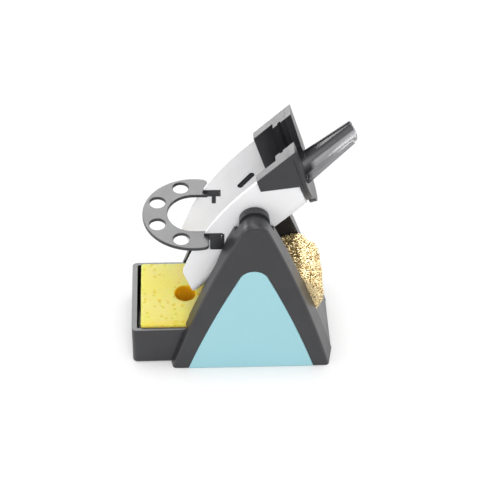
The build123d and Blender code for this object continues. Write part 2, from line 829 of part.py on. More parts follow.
with BuildPart() as hand_guard:
    with BuildSketch(holder_section):
        with Locations((0, spout_middle)):
            Circle(spout_outer)
        with Locations((0, spout_level)):
            Rectangle(4 * spout_outer, 4 * spout_outer, align=(Align.CENTER, Align.MIN), mode=Mode.SUBTRACT)
    extrude(amount=spout_end)
    with BuildSketch(spout_top):
        lip_outline(0.0)
    extrude(amount=-spout_lip_thickness)
    # Bead along the lips' outer edges
    with BuildSketch(spout_top):
        lip_outline(0.0)
        lip_outline(spout_bead_width, Mode.SUBTRACT)
    extrude(amount=spout_bead_height)
    split(bisect_by=guard_plane, keep=Keep.TOP)
    add(guard_plate.part)
    # Channel that the iron's handle lies in, widening upwards through the plate
    with BuildSketch(holder_section):
        with Locations((0, spout_middle)):
            Circle(spout_radius)
        with BuildLine():
            Polyline(
                (-spout_half_width, spout_level),
                (spout_half_width, spout_level),
                (throat_half, cradle_top),
                (-throat_half, cradle_top),
                close=True,
            )
        make_face()
    extrude(amount=channel_length, mode=Mode.SUBTRACT)

# Tip tray: a horseshoe with four holes and two tongues that slide in the sockets
tip_hole_angles = [180 + (place - 1.5) * tip_hole_pitch for place in range(4)]
tip_hole_spots = [
    (
        -tip_tray_middle + tip_hole_circle * math.cos(math.radians(angle)),
        tip_hole_circle * math.sin(math.radians(angle)),
    )
    for angle in tip_hole_angles
]
tongue_width = trough_half_width - tongue_inner
with BuildPart() as tip_tray:
    with BuildSketch(Plane.XY.offset(tip_tray_top - tip_tray_thickness)):
        with Locations((-tip_tray_middle, 0)):
            Circle(tip_ring_radius)
            Circle(tip_gap_radius, mode=Mode.SUBTRACT)
            Rectangle(2 * tip_ring_radius, 2 * tip_gap_radius, align=(Align.MIN, Align.CENTER),
                      mode=Mode.SUBTRACT)
        with Locations((-tip_prong_end, 0)):
            Rectangle(2 * tip_ring_radius, 2 * tip_ring_radius, align=(Align.MIN, Align.CENTER),
                      mode=Mode.SUBTRACT)
        fillet(vertices().group_by(Axis.X)[-1].sort_by(Axis.Y)[0], radius=tip_prong_corner)
        fillet(vertices().group_by(Axis.X)[-1].sort_by(Axis.Y)[-1], radius=tip_prong_corner)
        with Locations(*tip_hole_spots):
            Circle(tip_hole_radius, mode=Mode.SUBTRACT)
    extrude(amount=tip_tray_thickness)
    fillet(faces().sort_by(Axis.Z)[-1].edges(), radius=tip_tray_edge_radius)
    for side in (1, -1):
        with BuildSketch(front_plane(side * tongue_inner)):
            with Locations((-tip_tray_middle, tip_tray_top)):
                Rectangle(tip_tray_middle - tongue_end, tip_tray_thickness, align=(Align.MIN, Align.MAX))
        extrude(amount=side * tongue_width)

with BuildPart() as front_tip_socket:
    with BuildSketch(front_plane(trough_half_width)):
        with Locations((-socket_plate_right, socket_plate_bottom)):
            Rectangle(socket_plate_left - socket_plate_right, socket_plate_top - socket_plate_bottom,
                      align=(Align.MAX, Align.MIN))
        fillet(vertices().group_by(Axis.Y)[0], radius=socket_plate_corner)
    extrude(amount=-socket_plate_depth)
    with BuildSketch(front_plane(trough_half_width - trough_wall)):
        with Locations((-nub_right, nub_bottom)):
            Rectangle(nub_left - nub_right, socket_bar_top - nub_bottom, align=(Align.MAX, Align.MIN))
    extrude(amount=trough_wall)
    with BuildSketch(front_plane(trough_half_width - trough_wall)):
        with Locations((-socket_bar_right, socket_bar_bottom)):
            Rectangle(socket_bar_left - socket_bar_right, socket_bar_top - socket_bar_bottom,
                      align=(Align.MAX, Align.MIN))
    extrude(amount=trough_wall)
    # Slot that the tip tray's tongue slides into
    with BuildSketch(front_plane(tongue_inner - fit_gap)):
        with Locations((-tongue_end + run_gap, tip_tray_top + run_gap)):
            Rectangle(tip_tray_middle, tip_tray_thickness + 2 * run_gap, align=(Align.MAX, Align.MAX))
    extrude(amount=trough_wall, mode=Mode.SUBTRACT)
rear_tip_socket = rear_of(front_tip_socket)

# Pivot hardware
spring_start = cheek_face + boss_length + bore_gap
nut_start = spring_start + spring_washer_thickness
pin_length = nut_start + nut_thickness + pin_tail - pin_shoulder
with BuildPart() as front_pivot_pin:
    with BuildSketch(holder_side.offset(pin_start)):
        with Locations(pin_head_shift):
            SlotOverall(pin_head_length, pin_head_width, pin_head_turn)
    extrude(amount=pin_head_depth)
    with BuildSketch(holder_side.offset(pin_shoulder)):
        Circle(pin_radius)
    extrude(amount=pin_length)
rear_pivot_pin = rear_of(front_pivot_pin)

with BuildPart() as friction_washers:
    with BuildSketch(front_plane(cheek_face - washer_thickness)):
        with Locations((0, pivot_height)):
            Circle(washer_radius)
            Circle(pin_radius + bore_gap, mode=Mode.SUBTRACT)
    extrude(amount=washer_thickness)
    mirror(about=Plane.XZ)

with BuildPart() as pivot_bushes:
    with BuildSketch(front_plane(cheek_face)):
        with Locations((0, pivot_height)):
            Circle(bush_radius)
            Circle(pin_radius + bore_gap, mode=Mode.SUBTRACT)
    extrude(amount=boss_length)
    mirror(about=Plane.XZ)

with BuildPart() as spring_washers:
    with BuildSketch(front_plane(spring_start)):
        with Locations((0, pivot_height)):
            Circle(spring_washer_radius)
            Circle(pin_radius + bore_gap, mode=Mode.SUBTRACT)
    extrude(amount=spring_washer_thickness)
    mirror(about=Plane.XZ)

with BuildPart() as pivot_nuts:
    with BuildSketch(front_plane(nut_start)):
        with Locations((0, pivot_height)):
            RegularPolygon(nut_radius, 6)
            Circle(pin_radius + bore_gap, mode=Mode.SUBTRACT)
    extrude(amount=nut_thickness)
    mirror(about=Plane.XZ)

finish_piece(front_cover, "front_cover")
finish_piece(rear_cover, "rear_cover")
finish_piece(front_panel, "front_panel")
finish_piece(rear_panel, "rear_panel")
finish_piece(chassis, "chassis")
finish_piece(cover_screws, "cover_screws")
finish_piece(base_plate, "base_plate")
finish_piece(base_screws, "base_screws")
finish_piece(base_mat, "base_mat")
finish_piece(ballast_weight, "ballast_weight")
finish_piece(brass_wool, "brass_wool")
finish_piece(sponge_tray, "sponge_tray")
finish_piece(tray_feet, "tray_feet")
finish_piece(sponge, "sponge")
finish_piece(holder_trough, "holder_trough")
finish_piece(cradle, "cradle")
finish_piece(cradle_screws, "cradle_screws")
finish_piece(hand_guard, "hand_guard")
finish_piece(tip_tray, "tip_tray")
finish_piece(front_tip_socket, "front_tip_socket")
finish_piece(rear_tip_socket, "rear_tip_socket")
finish_piece(front_pivot_pin, "front_pivot_pin")
finish_piece(rear_pivot_pin, "rear_pivot_pin")
finish_piece(friction_washers, "friction_washers")
finish_piece(pivot_bushes, "pivot_bushes")
finish_piece(spring_washers, "spring_washers")
finish_piece(pivot_nuts, "pivot_nuts")
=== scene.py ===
import json
import math
import random

import bmesh
import bpy
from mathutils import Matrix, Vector, noise
from mathutils.bvhtree import BVHTree
from mathutils.kdtree import KDTree


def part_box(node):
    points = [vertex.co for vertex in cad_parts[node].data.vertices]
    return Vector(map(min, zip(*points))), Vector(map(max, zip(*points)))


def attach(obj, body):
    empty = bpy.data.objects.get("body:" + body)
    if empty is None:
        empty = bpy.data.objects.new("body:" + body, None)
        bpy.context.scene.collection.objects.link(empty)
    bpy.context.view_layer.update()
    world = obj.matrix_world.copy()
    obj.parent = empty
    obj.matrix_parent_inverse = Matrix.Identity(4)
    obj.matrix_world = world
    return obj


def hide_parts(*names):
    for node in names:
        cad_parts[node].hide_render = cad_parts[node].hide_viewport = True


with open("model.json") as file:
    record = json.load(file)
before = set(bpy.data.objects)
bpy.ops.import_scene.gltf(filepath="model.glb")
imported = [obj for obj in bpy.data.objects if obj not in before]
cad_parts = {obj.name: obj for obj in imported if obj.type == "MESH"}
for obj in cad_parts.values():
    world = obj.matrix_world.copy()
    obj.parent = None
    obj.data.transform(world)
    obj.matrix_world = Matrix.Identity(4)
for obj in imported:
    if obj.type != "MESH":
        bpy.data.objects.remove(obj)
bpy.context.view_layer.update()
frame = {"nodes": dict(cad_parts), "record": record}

nodes = frame["nodes"]
print("frame loaded:", len(nodes), "nodes")


# Camera, floor and lights

photoCamera = {
    "aim": (-0.0053, 0.0, 0.0754),
    "azimuth": -3.45,  # degrees, 0 looks along +Y
    "elevation": 44.0,
    "roll": 1.43,  # degrees, anticlockwise behind the camera
    "distance": 0.8824,
    "lens": 106.0,
    "sensor": 36.0,
    "clipStart": 0.01,
}
studio = {
    "floorSize": 6.0,
    "floorColour": (0.86, 0.86, 0.86, 1.0),
    "floorWhite": 0.84,  # share of plain white that the camera sees on the floor
    "whiteStrength": 1.06,
    "contactReach": 0.022,  # the white gives way this near to the object
    "contactShare": 0.1,  # of the white that is left at the object's foot
    "contactShade": 0.45,  # openness of the floor there
    "contactSamples": 8,
    "worldColour": (1.0, 1.0, 1.0, 1.0),
    "worldStrength": 0.46,
    "backdropStrength": 1.0,
    "softboxes": [
        {"name": "overheadSoftbox", "place": (-0.15, 0.05, 1.5), "size": (1.0, 1.0), "power": 8.4},
        {"name": "frontFill", "place": (0.1, -1.1, 1.05), "size": (0.9, 0.7), "power": 7.0},
        {"name": "backFill", "place": (-0.2, 1.4, 0.45), "size": (0.9, 0.7), "power": 5.6},
        {"name": "leftFill", "place": (-1.4, -0.4, 0.45), "size": (0.8, 0.7), "power": 7.0},
        {"name": "rightFill", "place": (1.4, 0.4, 0.45), "size": (0.8, 0.7), "power": 4.0},
    ],
    "sheenCards": [  # seen only in the plastic's sheen
        {"name": "backCard", "place": (0.0, 1.25, 1.25), "size": (1.3, 0.8), "power": 27.0},
        {"name": "leftBackCard", "place": (-1.1, 1.15, 0.32), "size": (0.9, 0.5), "power": 9.5},
        {"name": "rightBackCard", "place": (1.1, 1.15, 0.32), "size": (0.9, 0.5), "power": 9.5},
    ],
}


def linkObject(obj):
    bpy.context.scene.collection.objects.link(obj)
    return obj


def pointAt(obj, target):
    obj.rotation_euler = (Vector(target) - obj.location).to_track_quat("-Z", "Y").to_euler()


def makeCamera():
    azimuth = math.radians(photoCamera["azimuth"])
    elevation = math.radians(photoCamera["elevation"])
    back = Vector((
        math.sin(azimuth) * math.cos(elevation),
        -math.cos(azimuth) * math.cos(elevation),
        math.sin(elevation),
    ))
    data = bpy.data.cameras.new("photoCamera")
    data.sensor_width = photoCamera["sensor"]
    data.lens = photoCamera["lens"]
    data.clip_start = photoCamera["clipStart"]
    camera = linkObject(bpy.data.objects.new("photoCamera", data))
    camera.location = Vector(photoCamera["aim"]) + back * photoCamera["distance"]
    pointAt(camera, photoCamera["aim"])
    camera.rotation_euler.rotate_axis("Z", math.radians(photoCamera["roll"]))
    bpy.context.scene.camera = camera


def cameraSees(tree):
    # 1 for rays that carry the picture: straight, mirrored or through glass
    path = tree.nodes.new("ShaderNodeLightPath")
    seen = path.outputs["Is Camera Ray"]
    for name in ("Is Glossy Ray", "Is Transmission Ray"):
        either = tree.nodes.new("ShaderNodeMath")
        either.operation = "MAXIMUM"
        tree.links.new(seen, either.inputs[0])
        tree.links.new(path.outputs[name], either.inputs[1])
        seen = either.outputs[0]
    return seen


def makeFloor():
    half = studio["floorSize"] / 2
    mesh = bpy.data.meshes.new("floor")
    corners = [(-half, -half, 0), (half, -half, 0), (half, half, 0), (-half, half, 0)]
    mesh.from_pydata(corners, [], [(0, 1, 2, 3)])
    floor = linkObject(bpy.data.objects.new("floor", mesh))
    material = bpy.data.materials.new("paleFloor")
    material.use_nodes = True
    tree = material.node_tree
    tree.nodes.clear()
    output = tree.nodes.new("ShaderNodeOutputMaterial")
    matt = tree.nodes.new("ShaderNodeBsdfDiffuse")
    matt.inputs["Color"].default_value = studio["floorColour"]
    white = tree.nodes.new("ShaderNodeEmission")
    white.inputs["Strength"].default_value = studio["whiteStrength"]
    near = tree.nodes.new("ShaderNodeAmbientOcclusion")
    near.samples = studio["contactSamples"]
    near.inputs["Distance"].default_value = studio["contactReach"]
    openness = tree.nodes.new("ShaderNodeMapRange")
    openness.inputs["From Min"].default_value = studio["contactShade"]
    openness.inputs["To Min"].default_value = studio["contactShare"]
    openness.inputs["To Max"].default_value = studio["floorWhite"]
    share = tree.nodes.new("ShaderNodeMath")
    share.operation = "MULTIPLY"
    mix = tree.nodes.new("ShaderNodeMixShader")
    tree.links.new(near.outputs["AO"], openness.inputs["Value"])
    tree.links.new(cameraSees(tree), share.inputs[0])
    tree.links.new(openness.outputs["Result"], share.inputs[1])
    tree.links.new(share.outputs[0], mix.inputs[0])
    tree.links.new(matt.outputs[0], mix.inputs[1])
    tree.links.new(white.outputs[0], mix.inputs[2])
    tree.links.new(mix.outputs[0], output.inputs["Surface"])
    mesh.materials.append(material)


def makeWorld():
    world = bpy.data.worlds.new("studio")
    bpy.context.scene.world = world
    world.use_nodes = True
    tree = world.node_tree
    tree.nodes.clear()
    output = tree.nodes.new("ShaderNodeOutputWorld")
    dim = tree.nodes.new("ShaderNodeBackground")
    dim.inputs["Color"].default_value = studio["worldColour"]
    dim.inputs["Strength"].default_value = studio["worldStrength"]
    white = tree.nodes.new("ShaderNodeBackground")
    white.inputs["Color"].default_value = studio["worldColour"]
    white.inputs["Strength"].default_value = studio["backdropStrength"]
    mix = tree.nodes.new("ShaderNodeMixShader")
    tree.links.new(cameraSees(tree), mix.inputs[0])
    tree.links.new(dim.outputs[0], mix.inputs[1])
    tree.links.new(white.outputs[0], mix.inputs[2])
    tree.links.new(mix.outputs[0], output.inputs["Surface"])


def makeLamp(box):
    data = bpy.data.lights.new(box["name"], "AREA")
    data.shape = "RECTANGLE"
    data.size, data.size_y = box["size"]
    data.energy = box["power"]
    lamp = linkObject(bpy.data.objects.new(box["name"], data))
    lamp.location = box["place"]
    pointAt(lamp, photoCamera["aim"])
    return lamp


def makeLights():
    for box in studio["softboxes"]:
        makeLamp(box)
    for card in studio["sheenCards"]:
        makeLamp(card).visible_diffuse = False


makeCamera()
makeFloor()
makeWorld()
makeLights()
bpy.context.scene.view_settings.view_transform = "Standard"
print("studio ready")


# Finishes

finishes = {
    "dark_plastic": {"colour": (0.019, 0.019, 0.022), "pale": (0.050, 0.050, 0.056), "roughness": 0.34,
                     "grainScale": 2600.0, "grainDepth": 0.25, "rub": 0.35, "edge": 0.0004},
    "panel_plastic": {"colour": (0.353, 0.65, 0.715), "pale": (0.40, 0.688, 0.755), "roughness": 0.42,
                      "grainScale": 3200.0, "grainDepth": 0.10, "rub": 0.2, "edge": 0.0003},
    "white_plastic": {"colour": (0.90, 0.90, 0.91), "pale": (0.93, 0.93, 0.94), "roughness": 0.38,
                      "grainScale": 3000.0, "grainDepth": 0.08, "rub": 0.3, "edge": 0.0005},
    "rubber": {"colour": (0.025, 0.025, 0.026), "pale": (0.05, 0.05, 0.05), "roughness": 0.8,
               "grainScale": 1500.0, "grainDepth": 0.4, "rub": 0.4, "edge": 0.0003},
    "washer_plastic": {"colour": (0.74, 0.72, 0.66), "pale": (0.8, 0.79, 0.74), "roughness": 0.45,
                       "grainScale": 2500.0, "grainDepth": 0.1, "rub": 0.2, "edge": 0.0001},
}
metals = {
    "sheet_steel": {"colour": (0.60, 0.60, 0.61), "scratchScale": 90.0},
    "plated_steel": {"colour": (0.66, 0.66, 0.67), "scratchScale": 400.0},
    "black_steel": {"colour": (0.045, 0.045, 0.05), "scratchScale": 400.0},
    "bush_brass": {"colour": (0.72, 0.55, 0.26), "scratchScale": 400.0},
}
grainLook = {"fineDetail": 3.0, "broadScale": 55.0, "broadDetail": 4.0}
rubLook = {"flat": 0.995, "turned": 0.85, "samples": 4}  # cosines between the rounded and the plain normal
noiseSpan = (0.3, 0.7)  # where most of a noise texture's values lie
plasticLook = {"drift": 0.25, "smoother": -0.04, "rougher": 0.05, "grainHeight": 0.0001}
metalLook = {
    "stretch": (1.0, 14.0, 14.0),
    "detail": 4.0,
    "shade": 0.75,
    "roughness": (0.28, 0.45),
    "scratchHeight": 0.00005,
    "scratchDepth": 0.3,
    "edge": 0.0001,
}


def addSocket(group, name, direction):
    group.interface.new_socket(name=name, in_out=direction, socket_type="NodeSocketFloat")


def makeGrainGroup():
    # moulded surface: fine spark-eroded grain and a broad tone that wanders
    group = bpy.data.node_groups.new("mouldedGrain", "ShaderNodeTree")
    addSocket(group, "Scale", "INPUT")
    addSocket(group, "Height", "OUTPUT")
    addSocket(group, "Tone", "OUTPUT")
    links = group.links
    start = group.nodes.new("NodeGroupInput")
    end = group.nodes.new("NodeGroupOutput")
    place = group.nodes.new("ShaderNodeTexCoord")
    fine = group.nodes.new("ShaderNodeTexNoise")
    fine.inputs["Detail"].default_value = grainLook["fineDetail"]
    broad = group.nodes.new("ShaderNodeTexNoise")
    broad.inputs["Scale"].default_value = grainLook["broadScale"]
    broad.inputs["Detail"].default_value = grainLook["broadDetail"]
    links.new(place.outputs["Object"], fine.inputs["Vector"])
    links.new(place.outputs["Object"], broad.inputs["Vector"])
    links.new(start.outputs["Scale"], fine.inputs["Scale"])
    links.new(fine.outputs["Fac"], end.inputs["Height"])
    links.new(broad.outputs["Fac"], end.inputs["Tone"])
    return group


def makeRubGroup():
    # paler edges where hands and cloths pass
    group = bpy.data.node_groups.new("edgeRub", "ShaderNodeTree")
    addSocket(group, "Width", "INPUT")
    addSocket(group, "Tone", "INPUT")
    addSocket(group, "Mask", "OUTPUT")
    links = group.links
    start = group.nodes.new("NodeGroupInput")
    end = group.nodes.new("NodeGroupOutput")
    bevel = group.nodes.new("ShaderNodeBevel")
    bevel.samples = rubLook["samples"]
    geometry = group.nodes.new("ShaderNodeNewGeometry")
    dot = group.nodes.new("ShaderNodeVectorMath")
    dot.operation = "DOT_PRODUCT"
    ramp = group.nodes.new("ShaderNodeMapRange")
    ramp.inputs["From Min"].default_value = rubLook["flat"]
    ramp.inputs["From Max"].default_value = rubLook["turned"]
    patchy = group.nodes.new("ShaderNodeMath")
    patchy.operation = "MULTIPLY"
    links.new(start.outputs["Width"], bevel.inputs["Radius"])
    links.new(bevel.outputs["Normal"], dot.inputs[0])
    links.new(geometry.outputs["True Normal"], dot.inputs[1])
    links.new(dot.outputs["Value"], ramp.inputs["Value"])
    links.new(ramp.outputs["Result"], patchy.inputs[0])
    links.new(start.outputs["Tone"], patchy.inputs[1])
    links.new(patchy.outputs[0], end.inputs["Mask"])
    return group


grainGroup = makeGrainGroup()
rubGroup = makeRubGroup()


def placeGroup(tree, group, **values):
    node = tree.nodes.new("ShaderNodeGroup")
    node.node_tree = group
    for name, value in values.items():
        node.inputs[name].default_value = value
    return node


def newMaterial(name):
    material = bpy.data.materials.new(name)
    material.use_nodes = True
    tree = material.node_tree
    shader = tree.nodes["Principled BSDF"]
    return material, tree, shader


def mixColour(tree, factor, first, second):
    mix = tree.nodes.new("ShaderNodeMix")
    mix.data_type = "RGBA"
    tree.links.new(factor, mix.inputs["Factor"])
    mix.inputs["A"].default_value = (*first, 1.0)
    mix.inputs["B"].default_value = (*second, 1.0)
    return mix.outputs["Result"]


def mapRange(tree, value, low, high, toLow, toHigh):
    node = tree.nodes.new("ShaderNodeMapRange")
    tree.links.new(value, node.inputs["Value"])
    node.inputs["From Min"].default_value = low
    node.inputs["From Max"].default_value = high
    node.inputs["To Min"].default_value = toLow
    node.inputs["To Max"].default_value = toHigh
    return node.outputs["Result"]


def addMath(tree, operation, first, second):
    node = tree.nodes.new("ShaderNodeMath")
    node.operation = operation
    for socket, value in zip(node.inputs, (first, second)):
        if isinstance(value, (int, float)):
            socket.default_value = value
        else:
            tree.links.new(value, socket)
    return node.outputs[0]


def addBump(tree, shader, height, distance, strength, edge=None):
    bump = tree.nodes.new("ShaderNodeBump")
    bump.inputs["Distance"].default_value = distance
    bump.inputs["Strength"].default_value = strength
    tree.links.new(height, bump.inputs["Height"])
    if edge:
        bevel = tree.nodes.new("ShaderNodeBevel")
        bevel.samples = rubLook["samples"]
        bevel.inputs["Radius"].default_value = edge
        tree.links.new(bevel.outputs["Normal"], bump.inputs["Normal"])
    tree.links.new(bump.outputs["Normal"], shader.inputs["Normal"])


def mouldedPlastic(name, finish):
    material, tree, shader = newMaterial(name)
    grain = placeGroup(tree, grainGroup, Scale=finish["grainScale"])
    rub = placeGroup(tree, rubGroup, Width=finish["edge"] * 2)
    tree.links.new(grain.outputs["Tone"], rub.inputs["Tone"])
    drift = mapRange(tree, grain.outputs["Tone"], *noiseSpan, 0.0, plasticLook["drift"])
    wearAndSheen = addMath(tree, "MULTIPLY", rub.outputs["Mask"], finish["rub"])
    pale = addMath(tree, "ADD", drift, wearAndSheen)
    tree.links.new(mixColour(tree, pale, finish["colour"], finish["pale"]), shader.inputs["Base Color"])
    smoother = finish["roughness"] + plasticLook["smoother"]
    rougher = finish["roughness"] + plasticLook["rougher"]
    rough = mapRange(tree, grain.outputs["Tone"], *noiseSpan, smoother, rougher)
    tree.links.new(rough, shader.inputs["Roughness"])
    height = plasticLook["grainHeight"]
    addBump(tree, shader, grain.outputs["Height"], height, finish["grainDepth"], finish["edge"])
    return material


def scratchedMetal(name, metal):
    material, tree, shader = newMaterial(name)
    shader.inputs["Metallic"].default_value = 1.0
    place = tree.nodes.new("ShaderNodeTexCoord")
    stretch = tree.nodes.new("ShaderNodeMapping")
    stretch.inputs["Scale"].default_value = metalLook["stretch"]
    tree.links.new(place.outputs["Object"], stretch.inputs["Vector"])
    lines = tree.nodes.new("ShaderNodeTexNoise")
    lines.inputs["Scale"].default_value = metal["scratchScale"]
    lines.inputs["Detail"].default_value = metalLook["detail"]
    tree.links.new(stretch.outputs["Vector"], lines.inputs["Vector"])
    darker = tuple(metalLook["shade"] * value for value in metal["colour"])
    scratches = lines.outputs["Fac"]
    tree.links.new(mixColour(tree, scratches, darker, metal["colour"]), shader.inputs["Base Color"])
    rough = mapRange(tree, scratches, *noiseSpan, *metalLook["roughness"])
    tree.links.new(rough, shader.inputs["Roughness"])
    height = metalLook["scratchHeight"]
    addBump(tree, shader, scratches, height, metalLook["scratchDepth"], metalLook["edge"])
    return material


slotMaterials = {name: mouldedPlastic(name, finish) for name, finish in finishes.items()}
slotMaterials.update({name: scratchedMetal(name, metal) for name, metal in metals.items()})


spoutSheen = {
    "pivot": (0.0, 0.0, 0.112),
    "lean": 46.0,  # degrees that the trough's axis rises
    "start": (0.0405, 0.0445),  # along the axis from the pivot
    "level": (-0.0088, -0.003),  # the channel and its lips lie between these, square to the axis
    "channelMiddle": 0.0006,
    "channel": (0.0026, 0.0038),  # half widths where the painted sheen stripe is whole and where it ends
    "nearWall": (0.0068, 0.0076),  # the near wall, painted with sheen from these distances in front of the axis
    "nearShare": 0.85,
    # painted reflection: this pale colour stands in for the bright surroundings mirrored in the spout
    "wearAndSheen": (0.33, 0.33, 0.345),
    "smooth": 0.26,
}


def guardWithPaintedSheen():
    # dark plastic with a painted reflection: pale and smoother along the spout's channel and near wall
    material = mouldedPlastic("guard_painted_sheen", finishes["dark_plastic"])
    tree = material.node_tree
    shader = tree.nodes["Principled BSDF"]
    place = tree.nodes.new("ShaderNodeTexCoord")
    turn = tree.nodes.new("ShaderNodeMapping")
    turn.vector_type = "TEXTURE"
    turn.inputs["Location"].default_value = spoutSheen["pivot"]
    turn.inputs["Rotation"].default_value = (0.0, -math.radians(spoutSheen["lean"]), 0.0)
    tree.links.new(place.outputs["Object"], turn.inputs["Vector"])
    parts = tree.nodes.new("ShaderNodeSeparateXYZ")
    tree.links.new(turn.outputs["Vector"], parts.inputs["Vector"])
    across = addMath(tree, "SUBTRACT", parts.outputs["Y"], spoutSheen["channelMiddle"])
    aside = addMath(tree, "ABSOLUTE", across, 0.0)
    stripe = mapRange(tree, aside, *spoutSheen["channel"], 1.0, 0.0)
    forward = addMath(tree, "MULTIPLY", parts.outputs["Y"], -1.0)
    nearWall = mapRange(tree, forward, *spoutSheen["nearWall"], 0.0, spoutSheen["nearShare"])
    mask = addMath(tree, "MAXIMUM", stripe, nearWall)
    beyond = mapRange(tree, parts.outputs["X"], *spoutSheen["start"], 0.0, 1.0)
    above = addMath(tree, "GREATER_THAN", parts.outputs["Z"], spoutSheen["level"][0])
    below = addMath(tree, "LESS_THAN", parts.outputs["Z"], spoutSheen["level"][1])
    for share in (beyond, above, below):
        mask = addMath(tree, "MULTIPLY", mask, share)
    changes = [
        ("Base Color", "RGBA", (*spoutSheen["wearAndSheen"], 1.0)),
        ("Roughness", "FLOAT", spoutSheen["smooth"]),
    ]
    for socket, kind, wearAndSheen in changes:
        mix = tree.nodes.new("ShaderNodeMix")
        mix.data_type = kind
        tree.links.new(mask, mix.inputs["Factor"])
        tree.links.new(shader.inputs[socket].links[0].from_socket, mix.inputs["A"])
        mix.inputs["B"].default_value = wearAndSheen
        tree.links.new(mix.outputs["Result"], shader.inputs[socket])
    return material


def dressNodes():
    for part in frame["record"]["subparts"]:
        obj = nodes[part["node"]]
        material = slotMaterials.get(part["material_slot"])
        if material:
            obj.data.materials.clear()
            obj.data.materials.append(material)


dressNodes()
nodes["hand_guard"].data.materials[0] = guardWithPaintedSheen()
print("nodes dressed")


# Soft pieces

def voxelCopy(source, name, voxel):
    # a closed, even mesh that follows a CAD node
    rough = linkObject(bpy.data.objects.new("rough", source.data.copy()))
    remesh = rough.modifiers.new("even", "REMESH")
    remesh.mode = "VOXEL"
    remesh.voxel_size = voxel
    graph = bpy.context.evaluated_depsgraph_get()
    mesh = bpy.data.meshes.new_from_object(rough.evaluated_get(graph))
    mesh.name = name
    bpy.data.objects.remove(rough)
    mesh.materials.clear()
    mesh.shade_smooth()
    return linkObject(bpy.data.objects.new(name, mesh))


def writeShare(mesh, name, shares):
    attribute = mesh.attributes.new(name, "FLOAT", "POINT")
    attribute.data.foreach_set("value", shares)


def readShare(tree, name):
    node = tree.nodes.new("ShaderNodeAttribute")
    node.attribute_name = name
    return node.outputs["Fac"]


cleaningSponge = {
    "voxel": 0.0006,
    "hole": (-0.041, 0.0067),  # place along X and radius
    "seed": 11,
    "swellScale": 70.0,  # per metre
    "swell": 0.00035,
    "pores": 600,
    "poreRadius": (0.00035, 0.0009),
    "poreStretch": (1.0, 2.0),
    "poreDepth": 0.85,  # share of the radius
    "colour": (0.87, 0.77, 0.185),
    "pale": (0.87, 0.77, 0.27),
    # painted shade: the sunken pores are coloured darker and deeper yellow, more so the deeper they are
    "poreShadeColour": (0.80, 0.66, 0.07),
    # painted glow in the hole, standing in for light passing through the foam; the same orange also lies
    # along the front edge
    "glowAndEdgeColour": (0.98, 0.58, 0.012),
    "poreTint": 2.0,  # at 2 the painted pore shade is whole at half the greatest depth
    "glowRing": 0.0011,  # past the hole's edge
    "orangeEdge": 0.0055,  # along the front edge
    "orangeEdgeShare": 0.45,
    "soak": 0.8,  # share of the light that passes into the foam
    "soakDepth": 0.009,
    "soakColours": (1.0, 0.6, 0.15),
    "grainScale": 900.0,
    "toneSpan": (0.35, 0.65),
    "roughness": 0.9,
    "specular": 0.2,
    "grainHeight": 0.0003,
    "grainDepth": 0.5,
    "fill": 0.8,
}


def glowAndEdgeAt(place, front):
    # painted light: in the hole the yellow deepens to orange, standing in for light passing through the
    # foam; along the front edge it deepens to orange too
    ring = math.hypot(place.x - cleaningSponge["hole"][0], place.y) - cleaningSponge["hole"][1]
    hole = 1.0 - ring / cleaningSponge["glowRing"]
    edge = cleaningSponge["orangeEdgeShare"] * (1.0 - (place.y - front) / cleaningSponge["orangeEdge"])
    return max(0.0, min(1.0, hole), edge)


def makeSponge():
    draw = random.Random(cleaningSponge["seed"])
    obj = voxelCopy(nodes["sponge"], "cleaningSponge", cleaningSponge["voxel"])
    mesh = obj.data
    places = [vertex.co.copy() for vertex in mesh.vertices]
    normals = [vertex.normal.copy() for vertex in mesh.vertices]
    tree = KDTree(len(places))
    for index, place in enumerate(places):
        tree.insert(place, index)
    tree.balance()
    depth = [0.0] * len(places)
    for _ in range(cleaningSponge["pores"]):
        index = draw.randrange(len(places))
        radius = draw.uniform(*cleaningSponge["poreRadius"])
        stretch = draw.uniform(*cleaningSponge["poreStretch"])
        turn = draw.uniform(0.0, math.tau)
        normal = normals[index]
        side = normal.orthogonal().normalized()
        long = side * math.cos(turn) + normal.cross(side) * math.sin(turn)
        full = radius * cleaningSponge["poreDepth"]
        for place, near, _ in tree.find_range(places[index], radius * stretch):
            offset = place - places[index]
            along = offset.dot(long) / stretch
            across = offset - long * offset.dot(long)
            away = math.sqrt(along * along + across.length_squared) / radius
            if away < 1.0:
                depth[near] = max(depth[near], full * (1.0 - away * away))
    deepest = cleaningSponge["poreRadius"][1] * cleaningSponge["poreDepth"]
    for vertex, place, normal, sunk in zip(mesh.vertices, places, normals, depth):
        swell = noise.noise(place * cleaningSponge["swellScale"]) * cleaningSponge["swell"]
        vertex.co = place + normal * (swell - sunk)
    # pore depth sets the share of the painted pore shade
    writeShare(mesh, "pore", [min(1.0, cleaningSponge["poreTint"] * sunk / deepest) for sunk in depth])
    front = min(place.y for place in places)
    writeShare(mesh, "glowAndEdge", [glowAndEdgeAt(place, front) for place in places])
    mesh.materials.append(makeSpongeMaterial())
    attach(obj, "sponge_drawer")
    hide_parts("sponge")


